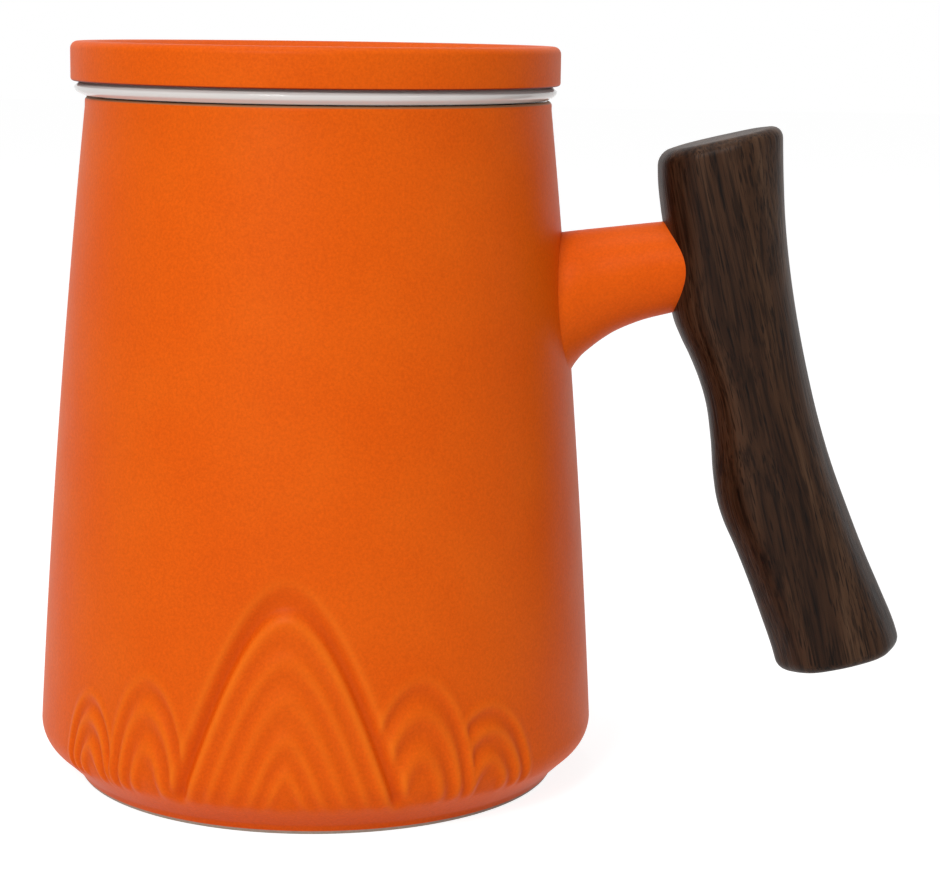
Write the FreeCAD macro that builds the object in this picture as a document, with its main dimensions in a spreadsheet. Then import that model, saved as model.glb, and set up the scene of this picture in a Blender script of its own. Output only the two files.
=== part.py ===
import FreeCAD, Part
import math
import os

import Sketcher

# Lidded tea mug: a glazed mug with a wooden side grip, a drop-in porcelain strainer and a loose lid.
# Millimetres. Origin at the centre of the foot, +Z up, the grip on the +X side.

SIZES = {
    # Mug shell
    "lip_height": 109.0,
    "lip_radius": 36.9,
    "belly_radius": 45.0,
    "belly_height": 9.0,
    "crease_inset": 4.1,
    "crease_height": 3.9,
    "foot_inset": 2.3,
    "foot_ring_width": 4.6,
    "foot_recess": 2.0,
    "wall_thickness": 4.0,
    "floor_thickness": 5.0,
    "wall_curve": 1950.0,
    "belly_round": 5.25,
    "floor_round": 8.0,
    "lip_round": 1.5,
    # Stub on the mug that carries the grip
    "flare_reach": 5.2,
    "neck_reach": 12.0,
    "root_half_height": 14.2,
    "root_half_width": 10.5,
    "root_drop": 2.6,
    "flare_half_height": 9.4,
    "flare_half_width": 8.0,
    "flare_drop": 0.2,
    "neck_half_height": 7.8,
    "neck_half_width": 7.4,
    "neck_rise": 0.5,
    "cope_half_height": 7.1,
    "stub_flat": 0.8,
    # Where the dowel crosses the middle of the grip
    "joint_height": 85.0,
    "joint_reach": 26.6,
    "cope_depth": 3.4,
    "grip_tilt": 13.6,
    # Carved grip, levels measured along the grip from the dowel
    "heel_level": 69.2,
    "palm_level": 54.0,
    "knuckle_level": 39.0,
    "waist_level": 24.0,
    "shoulder_level": 9.0,
    "thumb_level": 5.0,
    "crown_level": 18.7,
    "heel_offset": 4.2,
    "palm_offset": 2.3,
    "knuckle_offset": -0.2,
    "waist_offset": -0.05,
    "shoulder_offset": -0.9,
    "thumb_offset": 0.5,
    "crown_offset": 2.7,
    "heel_radius": 10.1,
    "palm_radius": 9.55,
    "knuckle_radius": 9.6,
    "waist_radius": 8.3,
    "shoulder_radius": 9.5,
    "thumb_radius": 9.5,
    "crown_radius": 9.9,
    "end_round": 2.2,
    # Dowel and glue
    "dowel_radius": 4.0,
    "dowel_in_stub": 17.0,
    "dowel_in_grip": 4.5,
    "dowel_chamfer": 0.8,
    "glue_gap": 0.25,
    # Strainer
    "seat_clearance": 0.15,
    "flange_thickness": 2.5,
    "flange_overhang": 1.1,
    "flange_round": 1.1,
    "cup_clearance": 0.9,
    "cup_wall": 2.2,
    "cup_depth": 70.0,
    "cup_taper": 4.0,
    "cup_round": 5.0,
    "hole_radius": 1.1,
    "floor_ring_inner": 8.5,
    "floor_ring_outer": 17.0,
    "side_row_first": 12.0,
    "side_row_pitch": 9.0,
    # Lid
    "lid_radius": 38.7,
    "lid_thickness": 5.7,
    "lid_top_round": 0.9,
    "lid_bottom_round": 1.0,
    "rim_width": 1.6,
    "dish_depth": 1.8,
    "dish_slope": 1.4,
    "ring_clearance": 0.5,
    "ring_thickness": 3.0,
    "ring_depth": 2.6,
    "ring_round": 0.8,
}
INNER_FLOOR_HOLES = 6
OUTER_FLOOR_HOLES = 12
SIDE_HOLES = 16
SIDE_ROWS = 3
FULL_TURN = 360

# How near an edge must lie to a level to belong to it
LEVEL_MATCH = 0.01

# Share of a wall that two opposite rounds may take up between them
ROUND_LIMIT = 0.45


def size(name):
    """The expression that reads one named size from the sheet."""
    return "Sizes." + name


# Sizes that follow from the named ones
CREASE_RADIUS = "(Sizes.belly_radius - Sizes.crease_inset)"
FOOT_RADIUS = f"({CREASE_RADIUS} - Sizes.foot_inset)"
MOUTH_RADIUS = "(Sizes.lip_radius - Sizes.wall_thickness)"
FLOOR_LEVEL = "(Sizes.foot_recess + Sizes.floor_thickness)"
CORNER_LEVEL = "(Sizes.foot_recess + Sizes.floor_thickness + Sizes.floor_round)"
LIP_ROUND = f"min(Sizes.lip_round; Sizes.wall_thickness * {ROUND_LIMIT})"
WALL_AT_STUB = (
    "(Sizes.lip_radius + (Sizes.belly_radius - Sizes.lip_radius)"
    " * (Sizes.lip_height - Sizes.joint_height) / (Sizes.lip_height - Sizes.belly_height))"
)
JOINT_X = f"({WALL_AT_STUB} + Sizes.joint_reach)"
FLANGE_BOTTOM = "(Sizes.lip_height + Sizes.seat_clearance)"
FLANGE_TOP = "(Sizes.lip_height + Sizes.seat_clearance + Sizes.flange_thickness)"
FLANGE_RADIUS = "(Sizes.lip_radius + Sizes.flange_overhang)"
FLANGE_ROUND = f"min(Sizes.flange_round; Sizes.flange_thickness * {ROUND_LIMIT})"
CUP_BOTTOM = f"({FLANGE_BOTTOM} - Sizes.cup_depth)"
CUP_TOP_RADIUS = f"({MOUTH_RADIUS} - Sizes.cup_clearance)"
CUP_INNER_RADIUS = f"({CUP_TOP_RADIUS} - Sizes.cup_wall)"
CUP_BASE_RADIUS = f"({CUP_TOP_RADIUS} - Sizes.cup_taper)"
CUP_INNER_ROUND = "max(Sizes.cup_round - Sizes.cup_wall; Sizes.cup_wall)"
LID_BOTTOM = f"({FLANGE_TOP} + Sizes.seat_clearance)"
LID_TOP = f"({LID_BOTTOM} + Sizes.lid_thickness)"
RING_RADIUS = f"({CUP_INNER_RADIUS} - Sizes.ring_clearance)"
RING_BOTTOM = f"({LID_BOTTOM} - Sizes.ring_depth)"
RING_ROUND = f"min(Sizes.ring_round; Sizes.ring_thickness * {ROUND_LIMIT})"

doc = FreeCAD.newDocument("LiddedMug")


def add_sheet():
    """Put every named size into the sheet, one row each."""
    sheet = doc.addObject("Spreadsheet::Sheet", "Sizes")
    for row, (name, value) in enumerate(SIZES.items(), start=1):
        sheet.set(f"A{row}", name)
        sheet.set(f"B{row}", str(value))
        sheet.setAlias(f"B{row}", name)
    doc.recompute()
    return sheet


def add_body(name):
    """An empty body with its own label."""
    body = doc.addObject("PartDesign::Body", name)
    body.Label = name
    return body


def origin_plane(body, role):
    """One of the body's own origin planes."""
    for feature in body.Origin.OriginFeatures:
        if feature.Role == role:
            return feature
    raise ValueError(role)


def add_sketch(body, name, role, level=None):
    """An empty sketch on an origin plane, lifted along the plane's normal by level."""
    sketch = body.newObject("Sketcher::SketchObject", name)
    sketch.AttachmentSupport = [(origin_plane(body, role), "")]
    sketch.MapMode = "FlatFace"
    if level is not None:
        sketch.setExpression("AttachmentOffset.Base.z", level)
    return sketch


def number(sketch, expression):
    """The present value of an expression."""
    return float(sketch.evalExpression(expression))


def pin_point(sketch, index, end, place):
    """Hold one end of an edge at a place given by two expressions."""
    # A sketch's own axes are numbered -1, whose first point is the origin, and -2
    horizontal, vertical = -1, -2
    axes = ((vertical, "DistanceX"), (horizontal, "DistanceY"))
    for expression, (axis, kind) in zip(place, axes):
        if expression == "0":
            sketch.addConstraint(Sketcher.Constraint("PointOnObject", index, end, axis))
            continue
        value = number(sketch, expression)
        row = sketch.addConstraint(
            Sketcher.Constraint(kind, horizontal, 1, index, end, value)
        )
        sketch.setExpression(f"Constraints[{row}]", expression)


def arc_edge(start, stop, radius, turn):
    """The short arc from start to stop. It turns left when turn is positive."""
    middle = (start + stop) * 0.5
    chord = stop - start
    sideways = FreeCAD.Vector(-chord.y, chord.x, 0).normalize() * turn
    rise = math.sqrt(max(radius * radius - chord.Length * chord.Length / 4, 0))
    centre = middle + sideways * rise
    first, last = (start, stop) if turn > 0 else (stop, start)
    angle_first = math.atan2(first.y - centre.y, first.x - centre.x)
    angle_last = math.atan2(last.y - centre.y, last.x - centre.x)
    circle = Part.Circle(centre, FreeCAD.Vector(0, 0, 1), radius)
    return Part.ArcOfCircle(circle, angle_first, angle_last)


def draw_outline(sketch, corners):
    """Draw a closed outline.

    A corner is (x, y) where a straight edge leaves it, or (x, y, radius, turn) where an arc does.
    """
    points = [FreeCAD.Vector(number(sketch, c[0]), number(sketch, c[1]), 0) for c in corners]
    ends = []
    for index, corner in enumerate(corners):
        start = points[index]
        stop = points[(index + 1) % len(points)]
        if len(corner) == 2:
            sketch.addGeometry(Part.LineSegment(start, stop))
            ends.append((1, 2))
            continue
        radius, turn = corner[2:]
        sketch.addGeometry(arc_edge(start, stop, number(sketch, radius), turn))
        ends.append((1, 2) if turn > 0 else (2, 1))
    for index, (first, last) in enumerate(ends):
        following = (index + 1) % len(ends)
        sketch.addConstraint(
            Sketcher.Constraint("Coincident", index, last, following, ends[following][0])
        )
    for index, corner in enumerate(corners):
        pin_point(sketch, index, ends[index][0], corner[:2])
        if len(corner) > 2:
            value = number(sketch, corner[2])
            row = sketch.addConstraint(Sketcher.Constraint("Radius", index, value))
            sketch.setExpression(f"Constraints[{row}]", corner[2])


def draw_circle(sketch, x, y, radius):
    """Draw a circle at a place given by two expressions."""
    centre = FreeCAD.Vector(number(sketch, x), number(sketch, y), 0)
    circle = Part.Circle(centre, FreeCAD.Vector(0, 0, 1), number(sketch, radius))
    index = sketch.addGeometry(circle)
    pin_point(sketch, index, 3, (x, y))
    row = sketch.addConstraint(Sketcher.Constraint("Radius", index, circle.Radius))
    sketch.setExpression(f"Constraints[{row}]", radius)


def draw_rounded_box(sketch, x, y, half_x, half_y, flat):
    """Draw a box about (x, y) whose corners are so round that only about flat stays straight."""
    radius = f"(min({half_x}; {half_y}) - {flat})"
    left = f"{x} - {half_x}"
    right = f"{x} + {half_x}"
    low = f"{y} - {half_y}"
    high = f"{y} + {half_y}"
    draw_outline(
        sketch,
        [
            (f"{left} + {radius}", low),
            (f"{right} - {radius}", low, radius, 1),
            (right, f"{low} + {radius}"),
            (right, f"{high} - {radius}", radius, 1),
            (f"{right} - {radius}", high),
            (f"{left} + {radius}", high, radius, 1),
            (left, f"{high} - {radius}"),
            (left, f"{low} + {radius}", radius, 1),
        ],
    )


def turn_about_z(body, kind, name, corners):
    """Add a Revolution or a Groove of an outline in the XZ plane."""
    sketch = add_sketch(body, name + "_outline", "XZ_Plane")
    draw_outline(sketch, corners)
    feature = body.newObject("PartDesign::" + kind, name)
    feature.Profile = sketch
    feature.ReferenceAxis = (sketch, ["V_Axis"])
    feature.Angle = FULL_TURN
    doc.recompute()
    return feature


def loft_through(body, name, sketches):
    """Add a smooth loft through the sketches in order."""
    loft = body.newObject("PartDesign::AdditiveLoft", name)
    loft.Profile = sketches[0]
    loft.Sections = sketches[1:]
    doc.recompute()
    return loft


def repeat_about_z(body, feature, count):
    """Repeat a feature evenly round the Z axis."""
    pattern = body.newObject("PartDesign::PolarPattern", feature.Name + "_round")
    pattern.Originals = [feature]
    pattern.Axis = (origin_plane(body, "Z_Axis"), [""])
    pattern.Angle = FULL_TURN
    pattern.Occurrences = count
    body.Tip = pattern
    doc.recompute()
    return pattern


def edges_at_level(shape, level):
    """Names of the edges that lie wholly at one local height."""
    names = []
    for index, edge in enumerate(shape.Edges, start=1):
        box = edge.BoundBox
        if abs(box.ZMin - level) < LEVEL_MATCH and abs(box.ZMax - level) < LEVEL_MATCH:
            names.append(f"Edge{index}")
    return names


def make_mug_shell():
    """The turned mug with the stub, before the stub is coped to the grip."""
    body = add_body("mug_shell")
    foot_inner = f"({FOOT_RADIUS} - Sizes.foot_ring_width)"
    turn_about_z(
        body,
        "Revolution",
        "outside",
        [
            ("0", size("foot_recess")),
            (foot_inner, size("foot_recess")),
            (foot_inner, "0"),
            (FOOT_RADIUS, "0"),
            (CREASE_RADIUS, size("crease_height"), size("belly_round"), 1),
            (size("belly_radius"), size("belly_height"), size("wall_curve"), 1),
            (size("lip_radius"), f"Sizes.lip_height - {LIP_ROUND}", LIP_ROUND, 1),
            (f"Sizes.lip_radius - {LIP_ROUND}", size("lip_height")),
            ("0", size("lip_height")),
        ],
    )

    def axis_height(reach):
        """Height of the dowel's axis at a distance from the mug's wall."""
        return f"(Sizes.joint_height - (Sizes.joint_reach - {reach}) * tan(Sizes.grip_tilt))"

    root_reach = f"({MOUTH_RADIUS} - {WALL_AT_STUB})"
    cope_reach = "(Sizes.joint_reach - Sizes.cope_depth)"
    sections = []
    for name, reach, shift, half_width, half_height in (
        ("root", root_reach, "-Sizes.root_drop", "root_half_width", "root_half_height"),
        ("flare", size("flare_reach"), "-Sizes.flare_drop", "flare_half_width", "flare_half_height"),
        ("neck", size("neck_reach"), "+Sizes.neck_rise", "neck_half_width", "neck_half_height"),
        ("cope", cope_reach, "+Sizes.neck_rise", "neck_half_width", "cope_half_height"),
    ):
        sketch = add_sketch(body, "stub_" + name, "YZ_Plane", f"{WALL_AT_STUB} + {reach}")
        draw_rounded_box(
            sketch,
            "0",
            f"({axis_height(reach)} {shift})",
            size(half_width),
            size(half_height),
            size("stub_flat"),
        )
        sections.append(sketch)
    loft_through(body, "stub", sections)

    inner_belly = "(Sizes.belly_radius - Sizes.wall_thickness)"
    above_lip = "(Sizes.lip_height + Sizes.wall_thickness)"
    turn_about_z(
        body,
        "Groove",
        "cavity",
        [
            ("0", FLOOR_LEVEL),
            (f"{inner_belly} - Sizes.floor_round", FLOOR_LEVEL, size("floor_round"), 1),
            (inner_belly, CORNER_LEVEL, size("wall_curve"), 1),
            (MOUTH_RADIUS, f"Sizes.lip_height - {LIP_ROUND}", LIP_ROUND, -1),
            (f"{MOUTH_RADIUS} + {LIP_ROUND}", size("lip_height")),
            (f"{MOUTH_RADIUS} + {LIP_ROUND}", above_lip),
            ("0", above_lip),
        ],
    )
    return body


def place_at_joint(item, angle):
    """Put an item's origin on the joint and turn it about Y by an angle expression."""
    item.Placement = FreeCAD.Placement(
        FreeCAD.Vector(0, 0, 0), FreeCAD.Rotation(FreeCAD.Vector(0, 1, 0), 1)
    )
    item.setExpression("Placement.Base.x", JOINT_X)
    item.setExpression("Placement.Base.z", size("joint_height"))
    item.setExpression("Placement.Rotation.Angle", angle)


def ease_end(body, name, sign, turn):
    """Round the rim of one end of the grip. The heel's level is negative, the crown's is not."""
    radius = size(name + "_radius")
    level = f"{sign}Sizes.{name}_level"
    inward = "-" if sign == "" else "+"
    outward = "+" if sign == "" else "-"
    inner = (f"{radius} - Sizes.end_round", level)
    outer = (radius, f"{level} {inward} Sizes.end_round")
    waste = [
        (f"{radius} + Sizes.end_round", outer[1]),
        (f"{radius} + Sizes.end_round", f"{level} {outward} Sizes.end_round"),
        (inner[0], f"{level} {outward} Sizes.end_round"),
    ]
    sketch = add_sketch(body, name + "_ease", "XZ_Plane")
    sketch.setExpression("AttachmentOffset.Base.x", size(name + "_offset"))
    draw_outline(sketch, [inner + (size("end_round"), turn), outer] + waste)
    groove = body.newObject("PartDesign::Groove", name + "_eased")
    groove.Profile = sketch
    groove.ReferenceAxis = (sketch, ["V_Axis"])
    groove.Angle = FULL_TURN
    doc.recompute()


def make_grip_blank():
    """The carved grip before it is bored. Its local Z runs up the grip and X points outward."""
    body = add_body("grip_blank")
    sections = []
    for name, level in (
        ("heel", "-Sizes.heel_level"),
        ("palm", "-Sizes.palm_level"),
        ("knuckle", "-Sizes.knuckle_level"),
        ("waist", "-Sizes.waist_level"),
        ("shoulder", "-Sizes.shoulder_level"),
        ("thumb", "Sizes.thumb_level"),
        ("crown", "Sizes.crown_level"),
    ):
        sketch = add_sketch(body, "grip_" + name, "XY_Plane", level)
        draw_circle(sketch, size(name + "_offset"), "0", size(name + "_radius"))
        sections.append(sketch)
    loft_through(body, "carved", sections)
    ease_end(body, "heel", "-", 1)
    ease_end(body, "crown", "", -1)
    place_at_joint(body, "-Sizes.grip_tilt")
    doc.recompute()
    return body


def make_bore():
    """The drill's path through stub and grip, along the dowel's axis."""
    bore = doc.addObject("Part::Cylinder", "dowel_bore")
    bore.setExpression("Radius", "Sizes.dowel_radius + Sizes.glue_gap")
    bore.setExpression("Height", "Sizes.dowel_in_stub + Sizes.dowel_in_grip + 2 * Sizes.glue_gap")
    place_on_dowel_axis(bore, "Sizes.dowel_in_stub + Sizes.glue_gap")
    return bore


def place_on_dowel_axis(item, back):
    """Point an item's local Z outward along the dowel's axis, starting back from the joint."""
    item.Placement = FreeCAD.Placement(
        FreeCAD.Vector(0, 0, 0), FreeCAD.Rotation(FreeCAD.Vector(0, 1, 0), 1)
    )
    item.setExpression("Placement.Base.x", f"{JOINT_X} - ({back}) * cos(Sizes.grip_tilt)")
    item.setExpression("Placement.Base.z", f"Sizes.joint_height - ({back}) * sin(Sizes.grip_tilt)")
    item.setExpression("Placement.Rotation.Angle", "90 - Sizes.grip_tilt")


def cut_from(name, base, tool):
    """A labelled cut of tool from base."""
    cut = doc.addObject("Part::Cut", name)
    cut.Label = name
    cut.Base = base
    cut.Tool = tool
    doc.recompute()
    return cut


def make_dowel():
    """The hardwood dowel that carries the grip on the stub."""
    body = add_body("handle_dowel")
    sketch = add_sketch(body, "dowel_section", "XY_Plane")
    draw_circle(sketch, "0", "0", size("dowel_radius"))
    pad = body.newObject("PartDesign::Pad", "dowel_length")
    pad.Profile = sketch
    pad.setExpression("Length", "Sizes.dowel_in_stub + Sizes.dowel_in_grip")
    doc.recompute()
    chamfer = body.newObject("PartDesign::Chamfer", "dowel_ends")
    ends = edges_at_level(pad.Shape, 0) + edges_at_level(pad.Shape, pad.Length.Value)
    chamfer.Base = (pad, ends)
    chamfer.setExpression("Size", size("dowel_chamfer"))
    place_on_dowel_axis(body, size("dowel_in_stub"))
    doc.recompute()
    return body


def make_glue():
    """The cured sleeve of glue between the dowel and its bore."""
    body = add_body("handle_adhesive")
    sketch = add_sketch(body, "glue_section", "XY_Plane")
    draw_circle(sketch, "0", "0", "Sizes.dowel_radius + Sizes.glue_gap")
    draw_circle(sketch, "0", "0", size("dowel_radius"))
    pad = body.newObject("PartDesign::Pad", "glue_length")
    pad.Profile = sketch
    pad.setExpression("Length", "Sizes.dowel_in_stub + Sizes.dowel_in_grip")
    place_on_dowel_axis(body, size("dowel_in_stub"))
    doc.recompute()
    return body


def make_infuser():
    """The porcelain strainer: a tapered cup on a round flange, drilled at the floor and low side."""
    body = add_body("infuser")
    base_inner = f"({CUP_BASE_RADIUS} - Sizes.cup_wall)"
    floor_top = f"({CUP_BOTTOM} + Sizes.cup_wall)"
    turn_about_z(
        body,
        "Revolution",
        "cup",
        [
            ("0", CUP_BOTTOM),
            (f"{CUP_BASE_RADIUS} - Sizes.cup_round", CUP_BOTTOM, size("cup_round"), 1),
            (CUP_BASE_RADIUS, f"{CUP_BOTTOM} + Sizes.cup_round"),
            (CUP_TOP_RADIUS, FLANGE_BOTTOM),
            (f"{FLANGE_RADIUS} - {FLANGE_ROUND}", FLANGE_BOTTOM, FLANGE_ROUND, 1),
            (FLANGE_RADIUS, f"{FLANGE_BOTTOM} + {FLANGE_ROUND}"),
            (FLANGE_RADIUS, f"{FLANGE_TOP} - {FLANGE_ROUND}", FLANGE_ROUND, 1),
            (f"{FLANGE_RADIUS} - {FLANGE_ROUND}", FLANGE_TOP),
            (f"{CUP_INNER_RADIUS} + {FLANGE_ROUND}", FLANGE_TOP, FLANGE_ROUND, 1),
            (CUP_INNER_RADIUS, f"{FLANGE_TOP} - {FLANGE_ROUND}"),
            (base_inner, f"{floor_top} + {CUP_INNER_ROUND}", CUP_INNER_ROUND, -1),
            (f"{base_inner} - {CUP_INNER_ROUND}", floor_top),
            ("0", floor_top),
        ],
    )
    for name, radius, count in (
        ("floor_centre", "0", 1),
        ("floor_inner", size("floor_ring_inner"), INNER_FLOOR_HOLES),
        ("floor_outer", size("floor_ring_outer"), OUTER_FLOOR_HOLES),
    ):
        sketch = add_sketch(body, name + "_place", "XY_Plane")
        draw_circle(sketch, radius, "0", size("hole_radius"))
        drill = body.newObject("PartDesign::Pocket", name)
        drill.Profile = sketch
        drill.Reversed = True
        drill.setExpression("Length", f"{CUP_BOTTOM} + 2 * Sizes.cup_wall")
        doc.recompute()
        if count > 1:
            repeat_about_z(body, drill, count)
    sketch = add_sketch(body, "side_place", "YZ_Plane")
    for row in range(SIDE_ROWS):
        height = f"{CUP_BOTTOM} + Sizes.side_row_first + {row} * Sizes.side_row_pitch"
        draw_circle(sketch, "0", height, size("hole_radius"))
    drill = body.newObject("PartDesign::Pocket", "side")
    drill.Profile = sketch
    drill.Reversed = True
    drill.setExpression("Length", CUP_TOP_RADIUS)
    doc.recompute()
    repeat_about_z(body, drill, SIDE_HOLES)
    return body


def make_lid():
    """The loose lid: a thick disc with a dished top and a ring below that centres it."""
    body = add_body("lid")
    top_round = f"min(Sizes.lid_top_round; Sizes.lid_thickness * {ROUND_LIMIT})"
    bottom_round = f"min(Sizes.lid_bottom_round; Sizes.lid_thickness * {ROUND_LIMIT})"
    ring_inner = f"({RING_RADIUS} - Sizes.ring_thickness)"
    dish_edge = "(Sizes.lid_radius - Sizes.lid_top_round - Sizes.rim_width)"
    turn_about_z(
        body,
        "Revolution",
        "disc",
        [
            ("0", LID_BOTTOM),
            (ring_inner, LID_BOTTOM),
            (ring_inner, f"{RING_BOTTOM} + {RING_ROUND}", RING_ROUND, 1),
            (f"{ring_inner} + {RING_ROUND}", RING_BOTTOM),
            (f"{RING_RADIUS} - {RING_ROUND}", RING_BOTTOM, RING_ROUND, 1),
            (RING_RADIUS, f"{RING_BOTTOM} + {RING_ROUND}"),
            (RING_RADIUS, LID_BOTTOM),
            (f"Sizes.lid_radius - {bottom_round}", LID_BOTTOM, bottom_round, 1),
            (size("lid_radius"), f"{LID_BOTTOM} + {bottom_round}"),
            (size("lid_radius"), f"{LID_TOP} - {top_round}", top_round, 1),
            (f"Sizes.lid_radius - {top_round}", LID_TOP),
            (dish_edge, LID_TOP),
            (f"{dish_edge} - Sizes.dish_slope", f"{LID_TOP} - Sizes.dish_depth"),
            ("0", f"{LID_TOP} - Sizes.dish_depth"),
        ],
    )
    return body


def check_and_export(nodes):
    """Stop on any failed object, then write one file per sub-part."""
    for item in doc.Objects:
        for state in item.State:
            if state in ("Invalid", "Error"):
                raise RuntimeError(f"{item.Name} is {state}")
    for node in nodes:
        if node.Shape.isNull() or not node.Shape.isValid():
            raise RuntimeError(f"{node.Label} has no valid shape")
        if len(node.Shape.Solids) != 1:
            raise RuntimeError(f"{node.Label} has {len(node.Shape.Solids)} solids")
    os.makedirs("parts", exist_ok=True)
    for node in nodes:
        node.Shape.exportStep(f"parts/{node.Label}.step")
        print(node.Label, round(node.Shape.Volume), "mm3")


add_sheet()
mug_shell = make_mug_shell()
grip_blank = make_grip_blank()
dowel_bore = make_bore()
coped_shell = cut_from("coped_shell", mug_shell, grip_blank)
mug_body = cut_from("mug_body", coped_shell, dowel_bore)
handle = cut_from("handle", grip_blank, dowel_bore)
handle_dowel = make_dowel()
handle_adhesive = make_glue()
infuser = make_infuser()
lid = make_lid()
doc.recompute()
check_and_export([mug_body, handle, handle_dowel, handle_adhesive, infuser, lid])
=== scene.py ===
import math

import bmesh
import bpy
import numpy as np
from mathutils import Matrix, Vector


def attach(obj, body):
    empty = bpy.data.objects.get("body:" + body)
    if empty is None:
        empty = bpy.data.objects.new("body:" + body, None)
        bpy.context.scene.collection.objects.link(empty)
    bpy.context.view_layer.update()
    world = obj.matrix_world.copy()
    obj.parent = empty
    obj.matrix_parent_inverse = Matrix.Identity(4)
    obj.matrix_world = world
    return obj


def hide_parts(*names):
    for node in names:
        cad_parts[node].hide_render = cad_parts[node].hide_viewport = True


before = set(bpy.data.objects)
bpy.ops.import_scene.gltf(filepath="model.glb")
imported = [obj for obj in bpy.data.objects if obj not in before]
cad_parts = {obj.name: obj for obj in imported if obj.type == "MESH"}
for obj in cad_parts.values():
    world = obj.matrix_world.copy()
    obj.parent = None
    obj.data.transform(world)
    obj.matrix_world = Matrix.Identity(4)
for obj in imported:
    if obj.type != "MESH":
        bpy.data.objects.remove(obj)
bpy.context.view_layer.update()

# Sizes are in millimetres and become metres when a mesh is made
MM = 0.001

# Camera, fitted to the photograph's 940 x 875 frame
IMAGE_WIDTH = 940
FOCAL_PIXELS = 2464.5
SENSOR_WIDTH = 36.0
CAMERA_DISTANCE = 395.83
CAMERA_HEIGHT = 122.15
CAMERA_AZIMUTH = math.radians(7.0)
CAMERA_YAW = math.radians(-3.43)
CAMERA_PITCH = math.radians(9.71)
CAMERA_ROLL = math.radians(0.80)

# Mug
LIP_HEIGHT = 109.0
LIP_RADIUS = 36.9
LIP_ROUND = 1.5
BELLY_RADIUS = 44.95
BELLY_HEIGHT = 9.0
BELLY_ROUND = 5.25
CREASE_RADIUS = 40.9
CREASE_HEIGHT = 3.9
CREASE_REACH = 2.6
CREASE_FILL = 0.65
FOOT_RADIUS = 38.6
FOOT_RING_WIDTH = 4.6
FOOT_RECESS = 2.0
FOOT_RECESS_ROUND = 0.8
FOOT_ROUND = 0.7
WALL = 4.0
FLOOR_TOP = 7.0
FLOOR_ROUND = 8.0
WALL_CURVE = 1950.0

# Grip frame: its origin is where the dowel crosses the grip, its Z runs up the grip
GRIP_ORIGIN = (65.44, 85.0)
GRIP_TILT = math.radians(13.6)

# Infuser
FLANGE_BOTTOM = 109.15
FLANGE_TOP = 111.65
FLANGE_RADIUS = 38.15
FLANGE_ROUND = 1.2
FLANGE_BEVEL = 1.4
FLANGE_SHOULDER = 1.1
FLANGE_LEAN = 0.2
FLANGE_LEAN_HEIGHT = 0.7
LOOSE_SHIFT = -0.42
CUP_TOP_RADIUS = 32.0
CUP_BASE_RADIUS = 28.0
CUP_BOTTOM = 39.15
CUP_WALL = 2.2
CUP_ROUND = 5.0
HOLE_RADIUS = 1.1

# Lid
LID_BOTTOM = 111.8
LID_TOP = 117.5
LID_RADIUS = 38.65
LID_RING_DEPTH = 2.6
LID_RING_CLEARANCE = 0.5
LID_RING_WIDTH = 3.0
LID_RING_ROUND = 0.8
LID_ROUND = 1.2

# The lid's outer edge hangs a little below its underside
LID_SKIRT = 0.45
LID_SKIRT_WIDTH = 1.1

RIM_WIDTH = 2.8
DISH_EDGE = 5.6
DISH_DEPTH = 1.8


def spline(points, at):
    """Smooth values at the places at, through points given as (place, value) in rising order."""
    points = np.asarray(points, float)
    place, value = points[:, 0], points[:, 1]
    slope = np.gradient(value, place)
    index = np.clip(np.searchsorted(place, at) - 1, 0, len(place) - 2)
    span = place[index + 1] - place[index]
    t = np.clip((at - place[index]) / span, 0, 1)
    return (
        (2 * t**3 - 3 * t**2 + 1) * value[index]
        + (t**3 - 2 * t**2 + t) * span * slope[index]
        + (3 * t**2 - 2 * t**3) * value[index + 1]
        + (t**3 - t**2) * span * slope[index + 1]
    )


def smoothstep(low, high, value):
    """0 below low, 1 above high, and a smooth rise between them."""
    t = np.clip((value - low) / (high - low), 0, 1)
    return t * t * (3 - 2 * t)


# The round of a corner takes no more than this share of the stretch on either side of it
ROUND_SHARE = 0.49


def soften(corners, step=0.5):
    """A path through corners given as (x, z, radius), each rounded in short steps to its radius."""
    path = []
    last = len(corners) - 1
    for index, (x, z, radius) in enumerate(corners):
        here = np.array([x, z], float)
        if radius <= 0 or index in (0, last):
            path.append(here)
            continue
        before = np.array(corners[index - 1][:2], float) - here
        after = np.array(corners[index + 1][:2], float) - here
        before_length = np.linalg.norm(before)
        after_length = np.linalg.norm(after)
        before /= before_length
        after /= after_length
        half_angle = math.acos(np.clip(before @ after, -1, 1)) / 2
        longest = ROUND_SHARE * min(before_length, after_length)
        reach = min(radius / math.tan(half_angle), longest)
        true_radius = reach * math.tan(half_angle)
        middle = (before + after) / np.linalg.norm(before + after)
        centre = here + middle * true_radius / math.sin(half_angle)
        start = here + before * reach - centre
        stop = here + after * reach - centre
        turn = math.atan2(start[0] * stop[1] - start[1] * stop[0], start @ stop)
        pieces = max(3, int(abs(turn) * true_radius / step) + 3)
        for share in np.linspace(0, 1, pieces + 1):
            angle = turn * share
            spin = np.array(
                [[math.cos(angle), -math.sin(angle)], [math.sin(angle), math.cos(angle)]]
            )
            path.append(centre + spin @ start)
    return np.array(path)


def divide(path, longest):
    """The same path with its long stretches divided evenly."""
    result = [path[0]]
    for start, stop in zip(path[:-1], path[1:]):
        pieces = max(1, math.ceil(np.linalg.norm(stop - start) / longest))
        for share in range(1, pieces + 1):
            result.append(start + (stop - start) * share / pieces)
    return np.array(result)


def grid_faces(rows, columns):
    """Quads of a grid whose columns close into a ring."""
    faces = []
    for row in range(rows - 1):
        for column in range(columns):
            right = (column + 1) % columns
            faces.append(
                (
                    row * columns + column,
                    row * columns + right,
                    (row + 1) * columns + right,
                    (row + 1) * columns + column,
                )
            )
    return faces


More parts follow.
